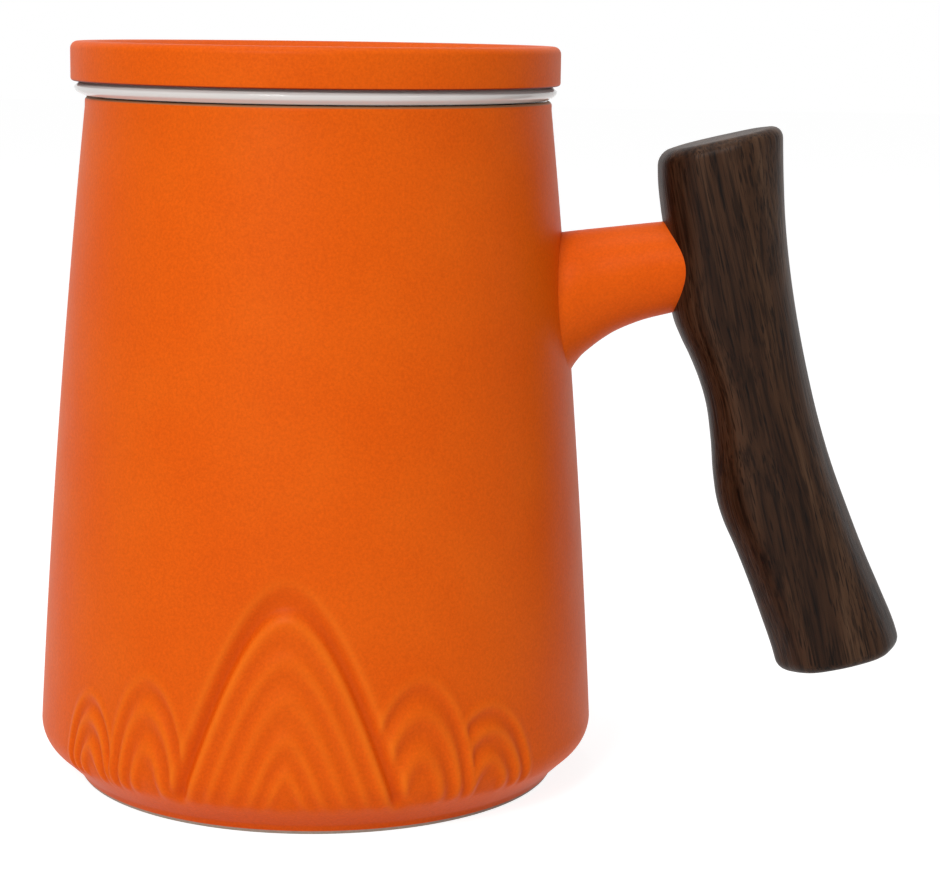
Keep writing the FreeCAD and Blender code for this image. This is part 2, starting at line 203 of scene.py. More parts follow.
def make_piece(name, points, faces, materials, face_materials=None):
    """A smooth-shaded mesh object from points in millimetres."""
    mesh = bpy.data.meshes.new(name)
    mesh.from_pydata((np.asarray(points) * MM).tolist(), [], faces)
    for material in materials:
        mesh.materials.append(material)
    if face_materials is not None:
        mesh.polygons.foreach_set("material_index", np.asarray(face_materials, dtype=np.int32))
    mesh.validate()
    tidy_normals(mesh)
    piece = bpy.data.objects.new(name, mesh)
    bpy.context.scene.collection.objects.link(piece)
    return piece


def tidy_normals(mesh):
    """Make every face point outward."""
    shape = bmesh.new()
    shape.from_mesh(mesh)
    bmesh.ops.recalc_face_normals(shape, faces=shape.faces)
    shape.to_mesh(mesh)
    shape.free()
    shade(mesh)


def shade(mesh, sharp_angle=math.radians(38)):
    """Smooth shading that keeps real edges."""
    mesh.shade_smooth()
    mesh.set_sharp_from_angle(angle=sharp_angle)


def revolve(name, path, angles, materials, material_of=None, shape=None):
    """Turn a path of (radius, z) points about Z. The path starts and ends on the axis.

    shape, when given, takes the angles, heights and radii and returns what to add to the radii.
    """
    angles = np.asarray(angles)
    inner = path[1:-1]
    columns = len(angles)
    radius = inner[:, 0][:, None] * np.ones(columns)[None, :]
    height = inner[:, 1][:, None] * np.ones(columns)[None, :]
    if shape is not None:
        radius = radius + shape(angles[None, :], height, radius)
    points = np.stack([radius * np.sin(angles), -radius * np.cos(angles), height], axis=-1)
    points = points.reshape(-1, 3).tolist()
    faces = grid_faces(len(inner), columns)
    first = len(points)
    points.append((0.0, 0.0, path[0][1]))
    points.append((0.0, 0.0, path[-1][1]))
    last_row = (len(inner) - 1) * columns
    for column in range(columns):
        right = (column + 1) % columns
        faces.append((first, right, column))
        faces.append((first + 1, last_row + column, last_row + right))
    chosen = None
    if material_of is not None:
        middle = [material_of(inner[row], inner[row + 1]) for row in range(len(inner) - 1)]
        chosen = [m for m in middle for _ in range(columns)]
        chosen += [material_of(path[0], path[1]), material_of(path[-2], path[-1])] * columns
    return make_piece(name, points, faces, materials, chosen)


def join_solids(piece, tools, operation):
    """Apply a boolean of each tool to the piece and delete the tools."""
    for tool in tools:
        change = piece.modifiers.new("join", "BOOLEAN")
        change.operation = operation
        change.solver = "MANIFOLD"
        change.object = tool
        result = bpy.data.meshes.new_from_object(
            piece.evaluated_get(bpy.context.evaluated_depsgraph_get())
        )
        piece.modifiers.clear()
        old = piece.data
        piece.data = result
        result.name = old.name + "_joined"
        bpy.data.meshes.remove(old)
        bpy.data.objects.remove(tool)
    shade(piece.data)
    return piece


# Materials


def new_material(name):
    """A node material and its Principled shader."""
    material = bpy.data.materials.new(name)
    material.use_nodes = True
    return material, material.node_tree.nodes["Principled BSDF"]


def add_node(material, kind, **values):
    """A node of a kind, with its inputs set by name or its properties set."""
    node = material.node_tree.nodes.new(kind)
    for key, value in values.items():
        if key in node.inputs:
            node.inputs[key].default_value = value
        else:
            setattr(node, key, value)
    return node


def link(material, output, target):
    """Join an output to an input."""
    material.node_tree.links.new(output, target)


def object_noise(material, stretch, scale, detail=3.0, roughness=0.5):
    """Noise in the piece's own coordinates, stretched along its axes."""
    place = add_node(material, "ShaderNodeTexCoord")
    mapping = add_node(material, "ShaderNodeMapping", Scale=stretch)
    noise = add_node(
        material, "ShaderNodeTexNoise", Scale=scale, Detail=detail, Roughness=roughness
    )
    link(material, place.outputs["Object"], mapping.inputs["Vector"])
    link(material, mapping.outputs["Vector"], noise.inputs["Vector"])
    return noise


def color_ramp(material, factor, stops):
    """A ramp through stops given as (place, colour)."""
    ramp = add_node(material, "ShaderNodeValToRGB")
    elements = ramp.color_ramp.elements
    while len(elements) < len(stops):
        elements.new(0.5)
    for element, (place, color) in zip(elements, stops):
        element.position = place
        element.color = (*color, 1.0)
    link(material, factor, ramp.inputs["Fac"])
    return ramp


def mix_colors(material, factor, first, second, blend="MIX"):
    """Mix two colours or colour outputs."""
    mix = add_node(material, "ShaderNodeMix", data_type="RGBA", blend_type=blend)
    inputs = {"factor": mix.inputs[0], "first": mix.inputs[6], "second": mix.inputs[7]}
    for key, value in (("factor", factor), ("first", first), ("second", second)):
        if isinstance(value, bpy.types.NodeSocket):
            link(material, value, inputs[key])
        elif key == "factor":
            inputs[key].default_value = value
        else:
            inputs[key].default_value = (*value, 1.0)
    return mix.outputs[2]


def add_bump(material, shader, height, strength, distance):
    """Small relief from a height output, distance in metres."""
    bump = add_node(material, "ShaderNodeBump", Strength=strength, Distance=distance)
    link(material, height, bump.inputs["Height"])
    link(material, bump.outputs["Normal"], shader.inputs["Normal"])


# Colours, linear
ORANGE = (0.80, 0.116, 0.0030)
ORANGE_DEEP = (0.785, 0.108, 0.0024)
ORANGE_PALE = (0.815, 0.126, 0.0040)
# Painted shade for the relief's hollows and painted highlight for its crests
ORANGE_HOLLOW_SHADE = (0.46, 0.036, 0.0015)
ORANGE_CREST_HIGHLIGHT = (0.92, 0.20, 0.010)
TAN_EDGE = (0.36, 0.17, 0.08)
# Painted shade for the lid's lower edge
LID_EDGE_SHADE = (0.16, 0.012, 0.003)
PORCELAIN = (0.72, 0.69, 0.665)
PORCELAIN_SHADE = (0.68, 0.65, 0.625)
BISQUE = (0.46, 0.39, 0.32)
BISQUE_DARK = (0.36, 0.30, 0.24)
WALNUT_DARK = (0.022, 0.0090, 0.0042)
WALNUT = (0.046, 0.0205, 0.0098)
WALNUT_PALE = (0.084, 0.043, 0.023)

# How far the painted shade in the relief's hollows and the painted highlight on its crests go towards
# their colours
HOLLOW_SHADE_SHARE = 0.35
CREST_HIGHLIGHT_SHARE = 0.6


def tint_edge(material, color, tint, start, full):
    """Turn a colour into a tint between two heights of the piece."""
    place = add_node(material, "ShaderNodeTexCoord")
    parts = add_node(material, "ShaderNodeSeparateXYZ")
    link(material, place.outputs["Object"], parts.inputs["Vector"])
    ramp = add_node(material, "ShaderNodeMapRange", interpolation_type="SMOOTHSTEP")
    ramp.inputs["From Min"].default_value = start * MM
    ramp.inputs["From Max"].default_value = full * MM
    link(material, parts.outputs["Z"], ramp.inputs["Value"])
    return mix_colors(material, ramp.outputs["Result"], color, tint)


def make_orange_glaze(name, edges=()):
    """Eggshell orange glaze with fine mottling and a faintly pebbled surface.

    Each edge is (tint, height where it starts, height where it is full); the lid's edge is painted shade.
    An attribute on the piece adds painted shade in the relief's hollows and painted highlight on its
    crests.
    """
    material, shader = new_material(name)
    mottle = object_noise(material, (1, 1, 1), 55, detail=4)
    tone = color_ramp(
        material,
        mottle.outputs["Fac"],
        ((0.3, ORANGE_DEEP), (0.5, ORANGE), (0.72, ORANGE_PALE)),
    )
    speck = object_noise(material, (1, 1, 1), 2400, detail=2, roughness=0.7)
    grain = color_ramp(
        material,
        speck.outputs["Fac"],
        ((0.3, (0.86, 0.80, 0.80)), (0.7, (1.0, 1.0, 1.0))),
    )
    color = mix_colors(material, 1.0, tone.outputs["Color"], grain.outputs["Color"], "MULTIPLY")
    # Painted shade in the relief's hollows and painted highlight on its crests
    for tint, share in ((ORANGE_HOLLOW_SHADE, HOLLOW_SHADE_SHARE), (ORANGE_CREST_HIGHLIGHT, -CREST_HIGHLIGHT_SHARE)):
        shade_value = add_node(material, "ShaderNodeAttribute", attribute_name="painted_relief_shade")
        amount = add_node(material, "ShaderNodeMath", operation="MULTIPLY", use_clamp=True)
        amount.inputs[1].default_value = share
        link(material, shade_value.outputs["Fac"], amount.inputs[0])
        color = mix_colors(material, amount.outputs["Value"], color, tint)
    for tint, start, full in edges:
        color = tint_edge(material, color, tint, start, full)
    link(material, color, shader.inputs["Base Color"])
    wear = object_noise(material, (1, 1, 1), 160, detail=3)
    rough = add_node(material, "ShaderNodeMapRange")
    rough.inputs["To Min"].default_value = 0.40
    rough.inputs["To Max"].default_value = 0.50
    link(material, wear.outputs["Fac"], rough.inputs["Value"])
    link(material, rough.outputs["Result"], shader.inputs["Roughness"])
    shader.inputs["IOR"].default_value = 1.16
    pebble = object_noise(material, (1, 1, 1), 900, detail=3, roughness=0.6)
    add_bump(material, shader, pebble.outputs["Fac"], 0.35, 0.00012)
    return material


def make_white_glaze(name):
    """Glossy white glaze with a slight warm tone and a soft, wavy surface."""
    material, shader = new_material(name)
    tone = object_noise(material, (1, 1, 1), 60, detail=3)
    color = color_ramp(
        material,
        tone.outputs["Fac"],
        ((0.3, PORCELAIN_SHADE), (0.7, PORCELAIN)),
    )
    link(material, color.outputs["Color"], shader.inputs["Base Color"])
    shader.inputs["Roughness"].default_value = 0.08
    wave = object_noise(material, (1, 1, 1), 180, detail=1)
    add_bump(material, shader, wave.outputs["Fac"], 0.06, 0.0002)
    return material


def make_bisque(name):
    """Bare fired clay: pale, dry and fine grained."""
    material, shader = new_material(name)
    grain = object_noise(material, (1, 1, 1), 1500, detail=4, roughness=0.7)
    color = color_ramp(
        material,
        grain.outputs["Fac"],
        ((0.3, BISQUE_DARK), (0.65, BISQUE)),
    )
    link(material, color.outputs["Color"], shader.inputs["Base Color"])
    shader.inputs["Roughness"].default_value = 0.85
    add_bump(material, shader, grain.outputs["Fac"], 0.5, 0.00015)
    return material


def make_walnut(name):
    """Dark oiled walnut. The grain runs along the piece's own Z axis."""
    material, shader = new_material(name)
    warp = object_noise(material, (1.0, 1.0, 0.25), 70, detail=2)
    place = add_node(material, "ShaderNodeTexCoord")
    shifted = add_node(material, "ShaderNodeMix", data_type="VECTOR")
    shifted.inputs[0].default_value = 0.0035
    link(material, place.outputs["Object"], shifted.inputs[4])
    link(material, warp.outputs["Color"], shifted.inputs[5])

    def grain(stretch, scale, detail, roughness=0.6):
        mapping = add_node(material, "ShaderNodeMapping", Scale=stretch)
        noise = add_node(
            material, "ShaderNodeTexNoise", Scale=scale, Detail=detail, Roughness=roughness
        )
        link(material, shifted.outputs[1], mapping.inputs["Vector"])
        link(material, mapping.outputs["Vector"], noise.inputs["Vector"])
        return noise

    band = grain((1.0, 0.8, 0.05), 260, 3)
    tone = color_ramp(
        material,
        band.outputs["Fac"],
        ((0.34, WALNUT_DARK), (0.5, WALNUT), (0.68, WALNUT_PALE)),
    )
    fibre = grain((1.0, 1.0, 0.035), 1900, 3, 0.65)
    streak = color_ramp(
        material,
        fibre.outputs["Fac"],
        ((0.38, (0.24, 0.22, 0.21)), (0.55, (1.0, 1.0, 1.0))),
    )
    color = mix_colors(material, 0.85, tone.outputs["Color"], streak.outputs["Color"], "MULTIPLY")
    pore = grain((1.0, 1.0, 0.06), 3200, 1)
    hole = color_ramp(
        material,
        pore.outputs["Fac"],
        ((0.32, (0.15, 0.13, 0.12)), (0.39, (1.0, 1.0, 1.0))),
    )
    color = mix_colors(material, 0.85, color, hole.outputs["Color"], "MULTIPLY")
    link(material, color, shader.inputs["Base Color"])
    shader.inputs["Roughness"].default_value = 0.42
    shader.inputs["IOR"].default_value = 1.2
    add_bump(material, shader, fibre.outputs["Fac"], 0.5, 0.0002)
    return material


def make_plain(name, low, high, scale, roughness, stretch=(1, 1, 1)):
    """A simple two-tone material for pieces that hardly show."""
    material, shader = new_material(name)
    noise = object_noise(material, stretch, scale, detail=3)
    color = color_ramp(material, noise.outputs["Fac"], ((0.3, low), (0.7, high)))
    link(material, color.outputs["Color"], shader.inputs["Base Color"])
    shader.inputs["Roughness"].default_value = roughness
    return material


lip_edge = (TAN_EDGE, LIP_HEIGHT - 0.45, LIP_HEIGHT - 0.2)
lid_edge_height = LID_BOTTOM - LID_SKIRT
# Painted shade darkens the lid's lower edge
lid_edge_shade = (LID_EDGE_SHADE, lid_edge_height + 0.3, lid_edge_height + 0.1)
orange_glaze = make_orange_glaze("orange_glaze", (lip_edge,))
lid_glaze = make_orange_glaze("lid_glaze", (lid_edge_shade,))
white_glaze = make_white_glaze("white_glaze")
bisque = make_bisque("bisque")
walnut = make_walnut("walnut")
beech = make_plain("beech", (0.42, 0.26, 0.14), (0.58, 0.38, 0.22), 600, 0.6, (1, 1, 0.1))
epoxy = make_plain("epoxy", (0.62, 0.56, 0.40), (0.70, 0.64, 0.48), 300, 0.25)

# Hills in low relief round the front of the belly. Azimuths run from the front towards the grip.
# Each hill: azimuth of its middle and half width at its base, in degrees, and its rise.
HILL_BASE = 5.7
HILL_FADE = 1.4
RELIEF_TOP = 45.0
RELIEF_TOP_FADE = 5.0
BIG_HILL = (0.95, 21.9, 30.6)
SMALL_HILLS = ((-44.3, 7.8, 13.4), (42.7, 11.2, 13.6), (-28.2, 9.4, 18.2), (27.4, 11.3, 19.2))
BIG_HILL_ROUNDNESS = 0.9

# Carved lines, as shares of the whole hill, and how far the surface lies in or out there
BIG_HILL_LINES = (1.0, 0.81, 0.633, 0.42, 0.246, 0.08)
SMALL_HILL_LINES = (0.87, 0.55, 0.2)
BIG_EDGE_DEPTH = 1.25
BIG_EDGE_START = 0.86
BIG_EDGE_END = 1.13
BIG_LINE_DEPTH = 0.50
BIG_CREST_DEPTH = 0.16
SMALL_RIM_RISE = 0.15
SMALL_RIM_END = 1.12
SMALL_LINE_DEPTH = 0.36


def big_hill_share(azimuth, height):
    """How large the hill would have to be for its outline to pass through each point.

    The outline is a hyperbola: round at the top, nearly straight down the sides.
    """
    centre, half_width, rise = BIG_HILL
    round_width = BIG_HILL_ROUNDNESS * half_width
    slope = rise / (math.hypot(half_width, round_width) - round_width)
    w = azimuth - centre
    z = height - HILL_BASE
    a = rise + slope * round_width
    b = a * a - (slope * round_width) ** 2
    inside = a * a * z * z - b * (z * z - slope * slope * w * w)
    return (a * z + np.sqrt(np.maximum(inside, 0))) / b


def small_hill_share(azimuth, height, hill):
    """The same for a small hill, whose outline is half an ellipse."""
    centre, half_width, rise = hill
    return np.hypot((azimuth - centre) / half_width, np.maximum(height - HILL_BASE, 0) / rise)


def wave(share, lines):
    """0 on each carved line and 1 on the crest between two of them."""
    place = np.interp(share, lines[::-1], np.arange(len(lines))[::-1])
    return 0.5 - 0.5 * np.cos(2 * np.pi * place)


def big_hill_level(share):
    """A steep step down at the edge, then shallow waves."""
    deepening = smoothstep(BIG_EDGE_START, 1.0, share)
    lines = BIG_LINE_DEPTH + (BIG_EDGE_DEPTH - BIG_LINE_DEPTH) * deepening
    level = -lines + (lines - BIG_CREST_DEPTH) * wave(share, BIG_HILL_LINES)
    return np.where(share > 1.0, -BIG_EDGE_DEPTH * (1 - smoothstep(1.0, BIG_EDGE_END, share)), level)


def small_hill_level(share):
    """A raised rim, then shallow waves."""
    first = SMALL_HILL_LINES[0]
    crest = np.where(share > first, smoothstep(first, 1.0, share), wave(share, SMALL_HILL_LINES))
    level = -SMALL_LINE_DEPTH + (SMALL_LINE_DEPTH + SMALL_RIM_RISE) * crest
    rim = SMALL_RIM_RISE * (1 - smoothstep(1.0, SMALL_RIM_END, share))
    return np.where(share > 1.0, rim, level)


def hill_level(azimuth, height):
    """How far the carved hills raise the surface, the nearer ones over the farther ones."""
    level = np.zeros(np.broadcast(azimuth, height).shape)
    for hill in SMALL_HILLS:
        share = small_hill_share(azimuth, height, hill)
        cover = 1 - smoothstep(1.0, SMALL_RIM_END, share)
        level = level * (1 - cover) + small_hill_level(share) * np.where(share > 1.0, 1.0, cover)
    share = big_hill_share(azimuth, height)
    cover = 1 - smoothstep(1.0, BIG_EDGE_END, share)
    level = level * (1 - cover) + big_hill_level(share) * np.where(share > 1.0, 1.0, cover)
    on_belly = smoothstep(HILL_BASE - HILL_FADE, HILL_BASE + HILL_FADE, height)
    return level * on_belly * (1 - smoothstep(RELIEF_TOP - RELIEF_TOP_FADE, RELIEF_TOP, height))


# No inside surface of the mug lies beyond this radius
INSIDE_LIMIT = BELLY_RADIUS - WALL + 0.5


def hill_relief(angles, height, radius):
    """Added radius of the carved hills on the outside of the mug."""
    azimuth = (np.degrees(angles) + 180) % 360 - 180
    return hill_level(azimuth, height) * (radius > INSIDE_LIMIT)


def wall_radius(height, offset=0.0):
    """Outer radius of the gently bowed wall, less an offset."""
    low = np.array([BELLY_RADIUS, BELLY_HEIGHT])
    high = np.array([LIP_RADIUS, LIP_HEIGHT - LIP_ROUND])
    chord = high - low
    length = np.linalg.norm(chord)
    inward = np.array([-chord[1], chord[0]]) / length
    centre = (low + high) / 2 + inward * math.sqrt(WALL_CURVE**2 - length**2 / 4)
    return centre[0] + np.sqrt(WALL_CURVE**2 - (height - centre[1]) ** 2) - offset


def belly_corner():
    """The outside from the foot's side through a soft crease and round the belly's lower turn."""
    crease = np.array([CREASE_RADIUS, CREASE_HEIGHT])
    down = np.array([FOOT_RADIUS, 0.0]) - crease
    down /= np.linalg.norm(down)
    centre = np.array([BELLY_RADIUS - BELLY_ROUND, BELLY_HEIGHT])
    start = math.atan2(crease[1] - centre[1], crease[0] - centre[0]) + CREASE_REACH / BELLY_ROUND
    turns = np.linspace(start, 0, 16)
    turn = centre + BELLY_ROUND * np.stack([np.cos(turns), np.sin(turns)], axis=1)
    low = crease + down * CREASE_REACH
    along = np.array([math.sin(start), -math.cos(start)])
    across = turn[0] - low
    reach = (across[0] * along[1] - across[1] * along[0]) / (down[1] * along[0] - down[0] * along[1])
    bend = low - down * reach
    bend = bend * (1 - CREASE_FILL) + (low + turn[0]) / 2 * CREASE_FILL
    share = np.linspace(0, 1, 12)[:-1, None]
    soft = (1 - share) ** 2 * low + 2 * share * (1 - share) * bend + share**2 * turn[0]
    return np.concatenate([soft, turn])


PATH_STEP = 0.3
HIGH_RINGS = 40


def mug_path():
    """The whole wall of the mug, from the middle of its underside round to the middle of its floor."""
    foot_inner = FOOT_RADIUS - FOOT_RING_WIDTH
    corner = belly_corner()
    foot = soften(
        [
            (0, FOOT_RECESS, 0),
            (foot_inner, FOOT_RECESS, FOOT_RECESS_ROUND),
            (foot_inner, 0, FOOT_ROUND),
            (FOOT_RADIUS, 0, FOOT_ROUND),
            tuple(corner[0]) + (0,),
        ],
        PATH_STEP,
    )
    low = np.arange(BELLY_HEIGHT + PATH_STEP, RELIEF_TOP, PATH_STEP)
    high = np.linspace(RELIEF_TOP, LIP_HEIGHT - LIP_ROUND, HIGH_RINGS)
    heights = np.concatenate([low, high])
    outside = np.stack([wall_radius(heights), heights], axis=1)
    inner_belly = BELLY_RADIUS - WALL
    top = soften(
        [
            (LIP_RADIUS, LIP_HEIGHT - LIP_ROUND, 0),
            (LIP_RADIUS, LIP_HEIGHT, LIP_ROUND),
            (LIP_RADIUS - WALL, LIP_HEIGHT, LIP_ROUND),
            (LIP_RADIUS - WALL, LIP_HEIGHT - LIP_ROUND, 0),
        ],
        PATH_STEP,
    )
    below_lip = LIP_HEIGHT - LIP_ROUND - 2
    inner_heights = np.linspace(below_lip, FLOOR_TOP + FLOOR_ROUND, HIGH_RINGS)
    inside = np.stack([wall_radius(inner_heights, WALL), inner_heights], axis=1)
    bottom = soften(
        [
            tuple(inside[-1]) + (0,),
            (inner_belly, FLOOR_TOP, FLOOR_ROUND),
            (inner_belly - 2 * FLOOR_ROUND, FLOOR_TOP, 0),
            (0, FLOOR_TOP, 0),
        ],
        2 * PATH_STEP,
    )
    pieces = [divide(foot, 0.5), corner[1:], outside, top[1:], inside, bottom[1:]]
    return np.concatenate([np.asarray(p) for p in pieces])


FOOT_GLAZE_EDGE = 0.6

# How much of the wall's thickness is orange on the lip
ORANGE_LIP_SHARE = 0.3
ORANGE_INDEX, WHITE_INDEX, BISQUE_INDEX = 0, 1, 2


def mug_material(start, stop):
    """Orange outside, white inside from the crown of the lip and in the recess of the foot.

    The foot ring stands on bare clay.
    """
    radius = (start[0] + stop[0]) / 2
    height = (start[1] + stop[1]) / 2
    if height < FOOT_GLAZE_EDGE:
        return BISQUE_INDEX
    if height < FOOT_RECESS + 0.2 and radius < FOOT_RADIUS - FOOT_RING_WIDTH + 0.3:
        return WHITE_INDEX
    if height > LIP_HEIGHT - LIP_ROUND:
        return ORANGE_INDEX if radius > LIP_RADIUS - ORANGE_LIP_SHARE * WALL else WHITE_INDEX
    if radius > wall_radius(max(height, BELLY_HEIGHT)) - WALL * 0.5 or height < FLOOR_TOP - 1:
        return ORANGE_INDEX
    return WHITE_INDEX


FINE_SPAN = 60.0
FINE_STEP = 0.3
COARSE_STEP = 2.0


def mug_angles():
    """Columns of the mug: close together across the carved front, wider apart behind."""
    fine = np.arange(-FINE_SPAN, FINE_SPAN, FINE_STEP)
    coarse = np.arange(FINE_SPAN, 360 - FINE_SPAN, COARSE_STEP)
    return np.radians(np.concatenate([fine, coarse]))


# Stub: its top and bottom edges seen from the side, and its half width, along X
STUB_TOP = ((34.0, 87.6), (39.1, 88.4), (47.0, 89.4), (54.4, 90.3), (62.0, 91.2))
STUB_BOTTOM = (
    (37.5, 60.5), (39.6, 63.6), (41.1, 66.9), (42.0, 68.2), (44.1, 70.2), (46.8, 72.2),
    (50.9, 74.2), (56.7, 75.9), (62.0, 77.2),
)
STUB_HALF_WIDTH = ((37.5, 9.6), (41.0, 8.5), (44.0, 7.8), (50.0, 7.2), (62.0, 6.9))
STUB_COLUMNS = 96
STUB_ROWS = 60
STUB_START = 37.6
STUB_END = 57.0
STUB_SINK = 0.5


def grip_place(x, z):
    """A point of the XZ plane in the grip's own frame."""
    dx = x - GRIP_ORIGIN[0]
    dz = z - GRIP_ORIGIN[1]
    c, s = math.cos(GRIP_TILT), math.sin(GRIP_TILT)
    return dx * c + dz * s, -dx * s + dz * c


# Grip: its left and right edges seen from the side and its half depth, by level along its own Z
GRIP_LEFT = (
    (-69.3, -5.9), (-64, -6.1), (-58, -6.8), (-52, -7.6), (-46, -8.6), (-41, -9.6), (-38, -9.85),
    (-34, -9.6), (-28, -8.75), (-22, -8.3), (-18, -8.6), (-14, -9.3), (-11, -10.0), (-8, -10.5),
    (-4, -10.3), (0, -9.7), (5, -9.1), (10, -8.75), (14, -8.3), (18.8, -7.3),
)
GRIP_RIGHT = (
    (-69.3, 14.1), (-64, 13.8), (-58, 12.7), (-52, 11.5), (-44, 10.2), (-36, 9.1), (-28, 8.5), (-20, 8.35),
    (-12, 8.5), (-4, 9.0), (4, 9.9), (10, 10.9), (18.8, 12.6),
)
GRIP_DEPTH = (
    (-69.3, 9.6), (-55, 9.3), (-40, 9.4), (-24, 8.5), (-8, 9.3), (5, 9.3), (18.8, 9.5),
)
GRIP_BOTTOM = -67.8
GRIP_TOP = 18.65
GRIP_END_ROUND = 2.1
GRIP_SQUARENESS = 2.25

# Sizes of the rings on the grip's end faces, as shares of the outermost
GRIP_CAP_SHARES = (0.85, 0.6, 0.3)

# Shallow cuts along the grip as (depth, how many round it, start, twist along it)
GRIP_FACETS = ((0.10, 6, 0.6, 0.02), (0.06, 9, -1.1, -0.03))
GRIP_COLUMNS = 160
GRIP_ROWS = 150


def grip_section(level):
    """Middle, half width and half depth of the grip at a level."""
    left = spline(GRIP_LEFT, level)
    right = spline(GRIP_RIGHT, level)
    return (left + right) / 2, (right - left) / 2, spline(GRIP_DEPTH, level)


def stub_end(y, z):
    """Where a line along X at (y, z) meets the grip."""
    x = np.full(np.shape(y), STUB_END - 1)
    for _ in range(6):
        _, level = grip_place(x, z)
        middle, half, depth = grip_section(level)
        want = middle - half * np.sqrt(np.clip(1 - (y / depth) ** 2, 0, 1))
        have, _ = grip_place(x, z)
        x = x + (want - have)
    return x


def make_stub(materials):
    """The stub: oval rings that flare down into the wall and end coped to the grip."""
    turns = np.linspace(0, 2 * np.pi, STUB_COLUMNS, endpoint=False)
    end_top = spline(STUB_TOP, np.array([STUB_END]))[0]
    end_bottom = spline(STUB_BOTTOM, np.array([STUB_END]))[0]
    end_half = (end_top - end_bottom) / 2
    end_width = spline(STUB_HALF_WIDTH, np.array([STUB_END]))[0]
    end_y = end_width * np.cos(turns)
    end_z = (end_top + end_bottom) / 2 + end_half * np.sin(turns)
    end_x = stub_end(end_y, end_z) + STUB_SINK
    points = []
    for share in np.linspace(0, 1, STUB_ROWS):
        x = STUB_START + (end_x - STUB_START) * share
        top = spline(STUB_TOP, x)
        bottom = spline(STUB_BOTTOM, x)
        width = spline(STUB_HALF_WIDTH, x)
        y = width * np.cos(turns)
        z = (top + bottom) / 2 + (top - bottom) / 2 * np.sin(turns)
        points.extend(np.stack([x, y, z], axis=1).tolist())
    faces = grid_faces(STUB_ROWS, STUB_COLUMNS)
    faces.append(tuple(range(STUB_COLUMNS)))
    last = (STUB_ROWS - 1) * STUB_COLUMNS
    centre = np.mean(points[last:], axis=0)
    points.append(centre.tolist())
    for column in range(STUB_COLUMNS):
        faces.append((last + column, last + (column + 1) % STUB_COLUMNS, len(points) - 1))
    return make_piece("stub", points, faces, materials)


# Painted shade in hollows and painted highlight on crests, for hollows and crests no wider than this
RELIEF_SHADE_REACH = 1.2

# Depth of a hollow whose painted shade is full
RELIEF_SHADE_FULL = 0.45


def mark_relief_shade(mesh):
    """Store painted shade and highlight from the relief: positive in hollows, which darken, negative on
    crests, which pale.
    """
    points = np.empty(len(mesh.vertices) * 3)
    mesh.vertices.foreach_get("co", points)
    x, y, z = points.reshape(-1, 3).T / MM
    azimuth = np.degrees(np.arctan2(x, -y))
    aside = math.degrees(RELIEF_SHADE_REACH / BELLY_RADIUS)
    steps = ((aside, 0), (-aside, 0), (0, RELIEF_SHADE_REACH), (0, -RELIEF_SHADE_REACH))
    around = sum(hill_level(azimuth + da, z + dz) for da, dz in steps) / len(steps)
    shade_value = np.clip((around - hill_level(azimuth, z)) / RELIEF_SHADE_FULL, -1, 1)
    shade_value = shade_value * (np.hypot(x, y) > INSIDE_LIMIT)
    attribute = mesh.attributes.new("painted_relief_shade", "FLOAT", "POINT")
    attribute.data.foreach_set("value", shade_value.astype(np.float32))


def make_mug():
    """The mug with its stub, joined into one skin."""
    materials = [orange_glaze, white_glaze, bisque]
    mug = revolve("mug", mug_path(), mug_angles(), materials, mug_material, hill_relief)
    stub = make_stub(materials)
    join_solids(mug, [stub], "UNION")
    # Painted shade in the relief's hollows and painted highlight on its crests
    mark_relief_shade(mug.data)
    return mug


def make_grip():
    """The carved grip, built in its own frame so that the grain follows it."""
    rounding = np.linspace(0, math.pi / 2, 7)
    reaches = [GRIP_END_ROUND * (1 - math.sin(a)) for a in rounding]
    insets = [GRIP_END_ROUND * (1 - math.cos(a)) for a in rounding]
    low = [(GRIP_BOTTOM + r, i) for r, i in zip(reaches[::-1], insets[::-1])]
    high = [(GRIP_TOP - r, i) for r, i in zip(reaches, insets)]
    levels = [(v, 0.0) for v in np.linspace(low[-1][0], high[0][0], GRIP_ROWS)[1:-1]]
    rings = low + levels + high
    turns = np.linspace(0, 2 * np.pi, GRIP_COLUMNS, endpoint=False)

    def ring(level, inset, share=1.0):
        middle, half, depth = grip_section(np.array([level]))
        facet = sum(
            cut * np.cos(count * turns + start + twist * level)
            for cut, count, start, twist in GRIP_FACETS
        )
        sides = np.abs(np.cos(turns)) ** GRIP_SQUARENESS + np.abs(np.sin(turns)) ** GRIP_SQUARENESS
        shape = sides ** (-1 / GRIP_SQUARENESS)
        x = middle + (half + facet - inset) * shape * np.cos(turns) * share
        y = (depth + facet - inset) * shape * np.sin(turns) * share
        return np.stack([x, y, np.full(len(turns), level)], axis=1)

    sheets = [ring(low[0][0], low[0][1], share) for share in reversed(GRIP_CAP_SHARES)]
    sheets += [ring(level, inset) for level, inset in rings]
    sheets += [ring(high[-1][0], high[-1][1], share) for share in GRIP_CAP_SHARES]
    points = np.concatenate(sheets).tolist()
    rows = len(sheets)
    faces = grid_faces(rows, GRIP_COLUMNS)
    bottom_centre = np.mean(sheets[0], axis=0).tolist()
    top_centre = np.mean(sheets[-1], axis=0).tolist()
    points += [bottom_centre, top_centre]
    last = (rows - 1) * GRIP_COLUMNS
    for column in range(GRIP_COLUMNS):
        right = (column + 1) % GRIP_COLUMNS
        faces.append((len(points) - 2, right, column))
        faces.append((len(points) - 1, last + column, last + right))
    grip = make_piece("grip", points, faces, [walnut])
    place = Matrix.Translation((GRIP_ORIGIN[0] * MM, 0, GRIP_ORIGIN[1] * MM))
    grip.matrix_world = place @ Matrix.Rotation(-GRIP_TILT, 4, "Y")
    return grip


ROUND_COLUMNS = 256
LONGEST_STRETCH = 4.0


